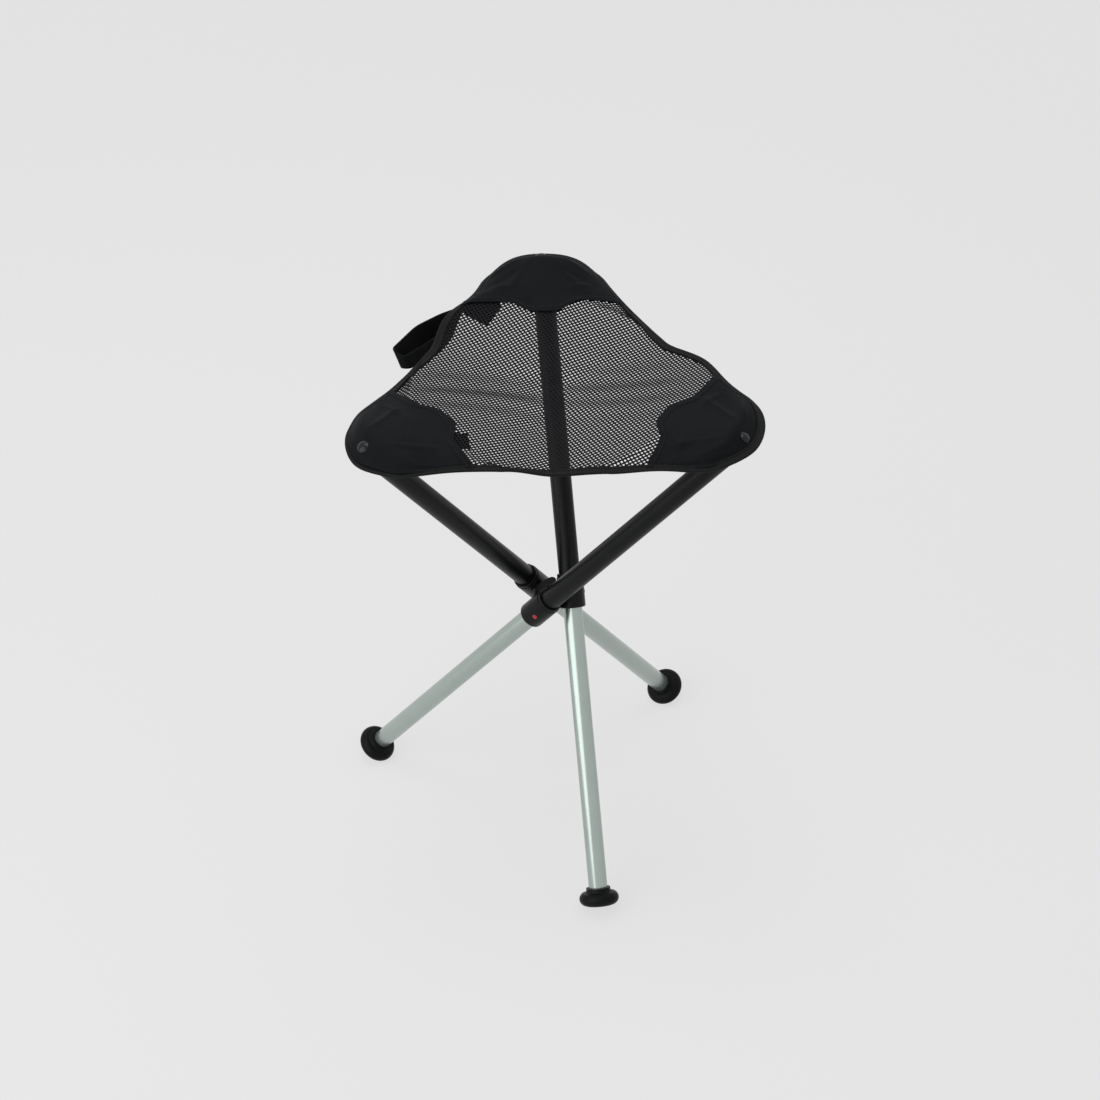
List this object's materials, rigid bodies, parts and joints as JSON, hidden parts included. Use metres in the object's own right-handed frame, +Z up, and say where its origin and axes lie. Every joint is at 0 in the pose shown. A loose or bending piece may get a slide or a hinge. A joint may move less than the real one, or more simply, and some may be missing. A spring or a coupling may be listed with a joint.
{
  "type": "folding tripod stool",
  "caption": "Folding tripod stool: triangular net seat on crossed telescopic legs that meet in a hub, with lock buttons and broad rubber feet.",
  "frame": {"origin": "on the floor, under the middle of the whole stool's box", "axes": "+Z up, +Y towards the seat's back corner, so the picture looks along +Y and down"},
  "size_m": [0.4044, 0.4257, 0.5573],
  "materials": {
    "black_tube": "satin",
    "silver_tube": "satin",
    "black_plastic": "satin",
    "red_plastic": "gloss",
    "black_rubber": "matte",
    "cloth": "woven",
    "net": "knitted net",
    "steel": "satin"
  },
  "bodies": {
    "hub": {"hub_upper": "black_plastic", "hub_lower": "black_plastic", "hub_screw": "steel", "hub_nut": "steel", "seat_net": "net"},
    "upper_leg_a": {"upper_tube_a": "black_tube", "sleeve_a": "black_plastic", "pivot_pin_a": "steel", "top_plug_a": "black_plastic", "seat_rivet_a": "black_plastic", "corner_pocket_a": "cloth"},
    "upper_leg_b": {"upper_tube_b": "black_tube", "sleeve_b": "black_plastic", "pivot_pin_b": "steel", "top_plug_b": "black_plastic", "seat_rivet_b": "black_plastic", "corner_pocket_b": "cloth"},
    "upper_leg_c": {"upper_tube_c": "black_tube", "sleeve_c": "black_plastic", "pivot_pin_c": "steel", "top_plug_c": "black_plastic", "seat_rivet_c": "black_plastic", "corner_pocket_c": "cloth"},
    "lock_button_a": {"lock_button_a": "red_plastic"},
    "lock_button_b": {"lock_button_b": "red_plastic"},
    "lock_button_c": {"lock_button_c": "red_plastic"},
    "lower_leg_a": {"lower_tube_a": "silver_tube", "guide_bush_a": "black_plastic", "lock_spring_a": "steel", "foot_a": "black_rubber"},
    "lower_leg_b": {"lower_tube_b": "silver_tube", "guide_bush_b": "black_plastic", "lock_spring_b": "steel", "foot_b": "black_rubber"},
    "lower_leg_c": {"lower_tube_c": "silver_tube", "guide_bush_c": "black_plastic", "lock_spring_c": "steel", "foot_c": "black_rubber"},
    "panel_ab": {"edge_binding_ab": "cloth", "seat_tab": "cloth"},
    "panel_ac": {"edge_binding_ac": "cloth"},
    "panel_bc": {"edge_binding_bc": "cloth"},
    "panel_ba": {"edge_binding_ba": "cloth"},
    "panel_ca": {"edge_binding_ca": "cloth", "carry_strap": "cloth"},
    "panel_cb": {"edge_binding_cb": "cloth"}
  },
  "joints": [
    {"name": "leg_fold_a", "type": "hinge", "parent": "hub", "child": "upper_leg_a", "pos_m": [-0.01437, 0.01029, 0.27152], "axis": [-0.5986, 0.8011, 0], "range_deg": [0, 36.5], "deforming": ["seat_net", "corner_pocket_a", "corner_pocket_b", "corner_pocket_c", "edge_binding_ab", "edge_binding_ac", "edge_binding_bc", "edge_binding_ba", "edge_binding_ca", "edge_binding_cb", "carry_strap", "seat_tab"]},
    {"name": "leg_fold_b", "type": "hinge", "parent": "hub", "child": "upper_leg_b", "pos_m": [-0.00947, -0.03099, 0.27152], "axis": [-0.3945, -0.9189, 0], "range_deg": [0, 36.5], "deforming": ["seat_net", "corner_pocket_a", "corner_pocket_b", "corner_pocket_c", "edge_binding_ab", "edge_binding_ac", "edge_binding_bc", "edge_binding_ba", "edge_binding_ca", "edge_binding_cb", "carry_strap", "seat_tab"]},
    {"name": "leg_fold_c", "type": "hinge", "parent": "hub", "child": "upper_leg_c", "pos_m": [0.02383, -0.00611, 0.27152], "axis": [0.993, 0.1178, 0], "range_deg": [0, 36.5], "deforming": ["seat_net", "corner_pocket_a", "corner_pocket_b", "corner_pocket_c", "edge_binding_ab", "edge_binding_ac", "edge_binding_bc", "edge_binding_ba", "edge_binding_ca", "edge_binding_cb", "carry_strap", "seat_tab"]},
    {"name": "leg_slide_a", "type": "slide", "parent": "upper_leg_a", "child": "lower_leg_a", "axis": [-0.4765, -0.356, 0.8039], "range_m": [0, 0.288], "deforming": ["lock_spring_a"]},
    {"name": "leg_slide_b", "type": "slide", "parent": "upper_leg_b", "child": "lower_leg_b", "axis": [0.5466, -0.2346, 0.8039], "range_m": [0, 0.288], "deforming": ["lock_spring_b"]},
    {"name": "leg_slide_c", "type": "slide", "parent": "upper_leg_c", "child": "lower_leg_c", "axis": [-0.0701, 0.5907, 0.8039], "range_m": [0, 0.288], "deforming": ["lock_spring_c"]},
    {"name": "button_press_a", "type": "slide", "parent": "upper_leg_a", "child": "lock_button_a", "axis": [0.5986, -0.8011, 0], "range_m": [0, 0.0012], "stiffness_N_per_m": 5700, "deforming": ["lock_spring_a"]},
    {"name": "button_press_b", "type": "slide", "parent": "upper_leg_b", "child": "lock_button_b", "axis": [0.3945, 0.9189, 0], "range_m": [0, 0.0012], "stiffness_N_per_m": 5700, "deforming": ["lock_spring_b"]},
    {"name": "button_press_c", "type": "slide", "parent": "upper_leg_c", "child": "lock_button_c", "axis": [-0.993, -0.1178, 0], "range_m": [0, 0.0012], "stiffness_N_per_m": 5700, "deforming": ["lock_spring_c"]},
    {"name": "panel_fold_ab", "type": "hinge", "parent": "upper_leg_a", "child": "panel_ab", "pos_m": [-0.17276, -0.11264, 0.54644], "axis": [0.6252, 0.6031, -0.4954], "range_deg": [0, 128.26], "deforming": ["seat_net", "corner_pocket_a", "corner_pocket_b", "corner_pocket_c", "edge_binding_ab", "edge_binding_ac", "edge_binding_bc", "edge_binding_ba", "edge_binding_ca", "edge_binding_cb", "carry_strap", "seat_tab"]},
    {"name": "panel_fold_ac", "type": "hinge", "parent": "upper_leg_a", "child": "panel_ac", "pos_m": [-0.17748, -0.11013, 0.54384], "axis": [0.4092, 0.7962, -0.4457], "range_deg": [0, 81.97], "deforming": ["seat_net", "corner_pocket_a", "corner_pocket_b", "corner_pocket_c", "edge_binding_ab", "edge_binding_ac", "edge_binding_bc", "edge_binding_ba", "edge_binding_ca", "edge_binding_cb", "carry_strap", "seat_tab"]},
    {"name": "panel_fold_bc", "type": "hinge", "parent": "upper_leg_b", "child": "panel_bc", "pos_m": [0.17619, -0.1067, 0.54644], "axis": [-0.8349, 0.2399, -0.4954], "range_deg": [0, 128.26], "deforming": ["seat_net", "corner_pocket_a", "corner_pocket_b", "corner_pocket_c", "edge_binding_ab", "edge_binding_ac", "edge_binding_bc", "edge_binding_ba", "edge_binding_ca", "edge_binding_cb", "carry_strap", "seat_tab"]},
    {"name": "panel_fold_ba", "type": "hinge", "parent": "upper_leg_b", "child": "panel_ba", "pos_m": [0.17637, -0.11205, 0.54384], "axis": [-0.8941, -0.0437, -0.4457], "range_deg": [0, 81.97], "deforming": ["seat_net", "corner_pocket_a", "corner_pocket_b", "corner_pocket_c", "edge_binding_ab", "edge_binding_ac", "edge_binding_bc", "edge_binding_ba", "edge_binding_ca", "edge_binding_cb", "carry_strap", "seat_tab"]},
    {"name": "panel_fold_ca", "type": "hinge", "parent": "upper_leg_c", "child": "panel_ca", "pos_m": [-0.00343, 0.19253, 0.54644], "axis": [0.2097, -0.843, -0.4954], "range_deg": [0, 128.26], "deforming": ["seat_net", "corner_pocket_a", "corner_pocket_b", "corner_pocket_c", "edge_binding_ab", "edge_binding_ac", "edge_binding_bc", "edge_binding_ba", "edge_binding_ca", "edge_binding_cb", "carry_strap", "seat_tab"]},
    {"name": "panel_fold_cb", "type": "hinge", "parent": "upper_leg_c", "child": "panel_cb", "pos_m": [0.00111, 0.19536, 0.54384], "axis": [0.4849, -0.7525, -0.4457], "range_deg": [0, 81.97], "deforming": ["seat_net", "corner_pocket_a", "corner_pocket_b", "corner_pocket_c", "edge_binding_ab", "edge_binding_ac", "edge_binding_bc", "edge_binding_ba", "edge_binding_ca", "edge_binding_cb", "carry_strap", "seat_tab"]}
  ],
  "couplings": [
    {"joint": "leg_fold_b", "follows": "leg_fold_a", "ratio": 1},
    {"joint": "leg_fold_c", "follows": "leg_fold_a", "ratio": 1},
    {"joint": "panel_fold_ab", "follows": "leg_fold_a", "ratio": 3.5136},
    {"joint": "panel_fold_ac", "follows": "leg_fold_a", "ratio": 2.2454},
    {"joint": "panel_fold_bc", "follows": "leg_fold_a", "ratio": 3.5136},
    {"joint": "panel_fold_ba", "follows": "leg_fold_a", "ratio": 2.2454},
    {"joint": "panel_fold_ca", "follows": "leg_fold_a", "ratio": 3.5136},
    {"joint": "panel_fold_cb", "follows": "leg_fold_a", "ratio": 2.2454}
  ]
}
